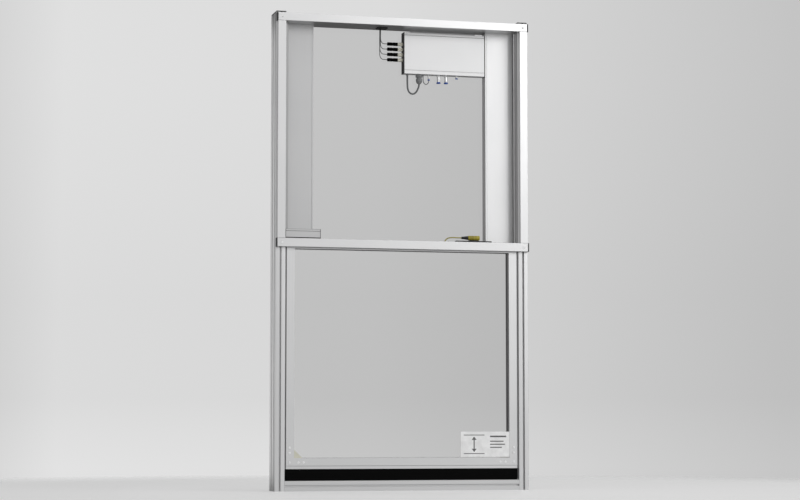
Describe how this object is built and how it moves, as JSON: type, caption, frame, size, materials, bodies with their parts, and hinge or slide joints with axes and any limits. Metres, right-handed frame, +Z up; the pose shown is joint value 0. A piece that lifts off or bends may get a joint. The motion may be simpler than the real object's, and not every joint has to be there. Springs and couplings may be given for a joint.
{
  "type": "powered lift door for a machine guard",
  "caption": "Tall machine guard door: slotted aluminium frame, tinted leaf sliding up before a fixed pane, rodless air drive and rope balancer in side ducts, rubber safety edge",
  "frame": {"origin": "on the floor, at the middle of the frame's width and depth", "axes": "+X to the right seen from the front, +Y to the back, +Z up; the leaf lifts along +Z"},
  "size_m": [1.03, 0.116, 1.875],
  "materials": {
    "aluminium": "satin anodised extrusion",
    "duct_sheet": "fine matte anodised sheet",
    "tinted_sheet": "grey tinted clear sheet",
    "black_plastic": "moulded black plastic",
    "seal": "glazing rubber",
    "edge_rubber": "soft matte rubber",
    "screws": "bright zinc-plated screws",
    "steel": "ground stainless steel",
    "spring_steel": "drawn steel wire and strip",
    "nickel": "nickel-plated brass",
    "module_plastic": "grey moulded plastic",
    "grey_plastic": "grey moulded plastic, fine texture",
    "grey_cable": "grey cable sheath",
    "black_cable": "black cable sheath",
    "yellow_cable": "yellow cable sheath",
    "zinc_plate": "yellow passivated zinc",
    "white_plastic": "white laminated plate",
    "yellow_plastic": "yellow moulded plastic",
    "blue_plastic": "blue moulded plastic"
  },
  "bodies": {
    "frame": {"main_post_left": "aluminium", "main_post_right": "aluminium", "sill_beam": "aluminium", "top_cross_beam": "aluminium", "top_rails": "aluminium", "mid_rails": "aluminium", "front_posts": "aluminium", "rear_posts": "aluminium", "end_caps": "black_plastic", "frame_screws": "screws", "guide_rails": "aluminium", "duct_channels": "aluminium", "duct_covers": "duct_sheet", "rear_pane": "tinted_sheet", "rear_gasket": "seal", "control_box_body": "duct_sheet", "control_box_cover": "duct_sheet", "control_box_ends": "black_plastic", "valve_block": "module_plastic", "controller_module": "module_plastic", "sensor_sockets": "nickel", "sensor_plugs": "black_plastic", "coupling_nuts": "nickel", "sensor_lead_1": "black_cable", "sensor_lead_2": "black_cable", "sensor_lead_3": "black_cable", "sensor_lead_4": "black_cable", "cable_entry_plate": "black_plastic", "cable_gland": "grey_plastic", "supply_lead": "grey_cable", "cable_grommets": "grey_plastic", "pilot_tube": "grey_cable", "pilot_fitting": "nickel", "air_fittings": "nickel", "cylinder_end_blocks": "aluminium", "cylinder_tube": "steel", "balancer_bracket": "steel", "balancer_spring": "spring_steel", "lift_rope": "spring_steel"},
    "leaf": {"leaf_stiles": "aluminium", "leaf_rails": "aluminium", "leaf_pane": "tinted_sheet", "leaf_gasket": "seal", "corner_gussets": "zinc_plate", "leaf_screws": "screws", "sign_plate": "white_plastic", "edge_carrier": "aluminium", "edge_rubber": "edge_rubber", "carrier_housing": "duct_sheet", "carrier_arm": "steel", "cylinder_carriage": "aluminium", "cylinder_piston": "steel", "rope_arm": "steel", "plug_bracket": "black_plastic", "edge_plug": "yellow_plastic", "edge_plug_relief": "black_plastic", "edge_plug_lead": "yellow_cable"},
    "balancer_drum": {"rope_drum": "module_plastic"},
    "ring_a": {"release_ring_a": "blue_plastic"},
    "ring_b": {"release_ring_b": "blue_plastic"}
  },
  "joints": [
    {"name": "leaf_lift", "type": "slide", "parent": "frame", "child": "leaf", "axis": [0, 0, 1], "range_m": [0, 0.78], "deforming": ["lift_rope"]},
    {"name": "drum_turn", "type": "hinge", "parent": "frame", "child": "balancer_drum", "pos_m": [0.4, 0.034, 1.788], "axis": [0, -1, 0], "range_deg": [0, 1200]},
    {"name": "ring_a_press", "type": "slide", "parent": "frame", "child": "ring_a", "axis": [0, 0, 1], "range_m": [0, 0.0012], "stiffness_N_per_m": 600},
    {"name": "ring_b_press", "type": "slide", "parent": "frame", "child": "ring_b", "axis": [0, 0, 1], "range_m": [0, 0.0012], "stiffness_N_per_m": 600}
  ],
  "couplings": [
    {"joint": "drum_turn", "follows": "leaf_lift", "rad_per_m": 26.316}
  ]
}
